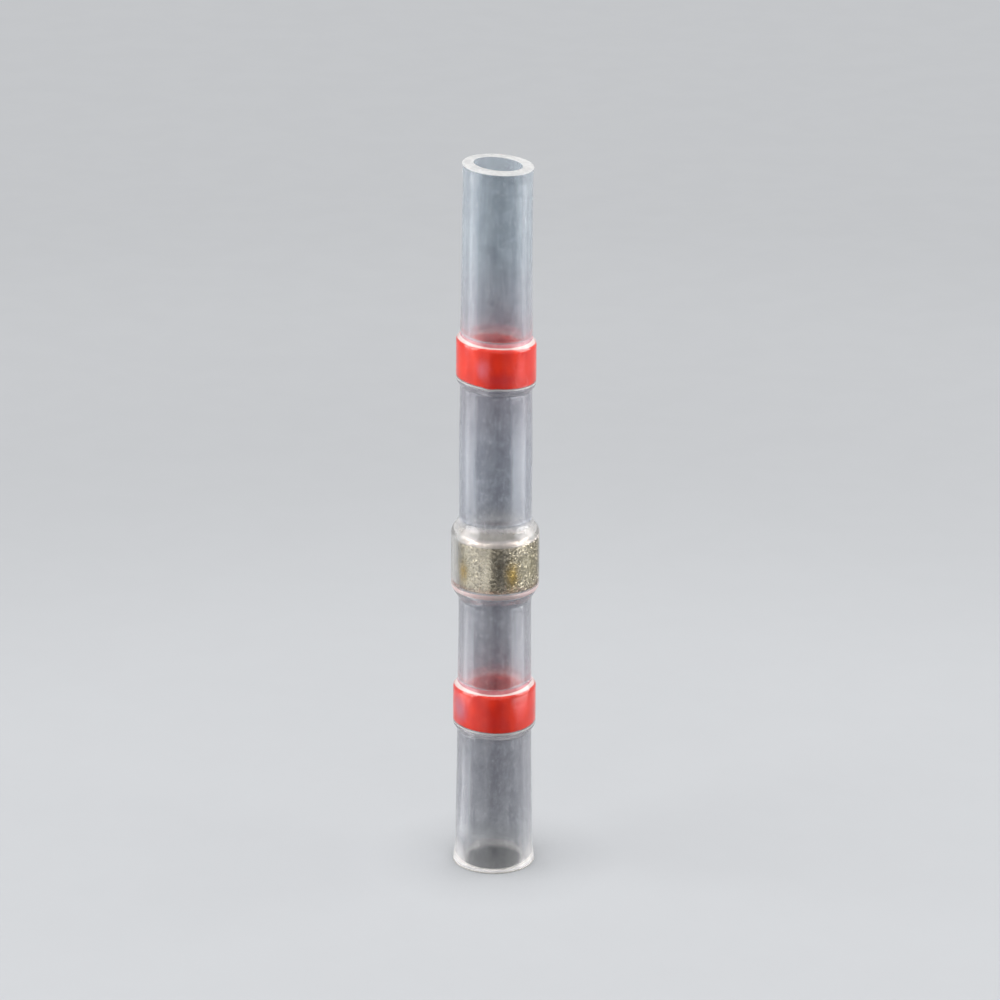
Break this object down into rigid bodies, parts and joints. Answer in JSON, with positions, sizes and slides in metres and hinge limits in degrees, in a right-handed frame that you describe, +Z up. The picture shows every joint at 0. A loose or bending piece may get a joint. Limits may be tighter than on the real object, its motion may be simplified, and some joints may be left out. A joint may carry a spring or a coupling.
{
  "type": "solder seal wire connector",
  "caption": "Tubular see-through heat-shrink wire splice with a solder ring near its middle and a coloured melting seal ring towards each end, standing on its open end.",
  "frame": {"origin": "middle of the lower end face, on the surface that the connector stands on", "axes": "+Z up along the bore from the foot to the rim; +X and +Y are equal, because the part is turned about Z"},
  "size_m": [0.0048, 0.0048, 0.0402],
  "materials": {
    "sleeve": "milky see-through polyolefin with faint extrusion streaks",
    "solder": "grainy cast solder with amber flux stains",
    "seal": "waxy red melting adhesive"
  },
  "bodies": {
    "root": {"heat_shrink_sleeve": "sleeve", "solder_ring": "solder", "lower_seal_ring": "seal", "upper_seal_ring": "seal"}
  },
  "joints": []
}
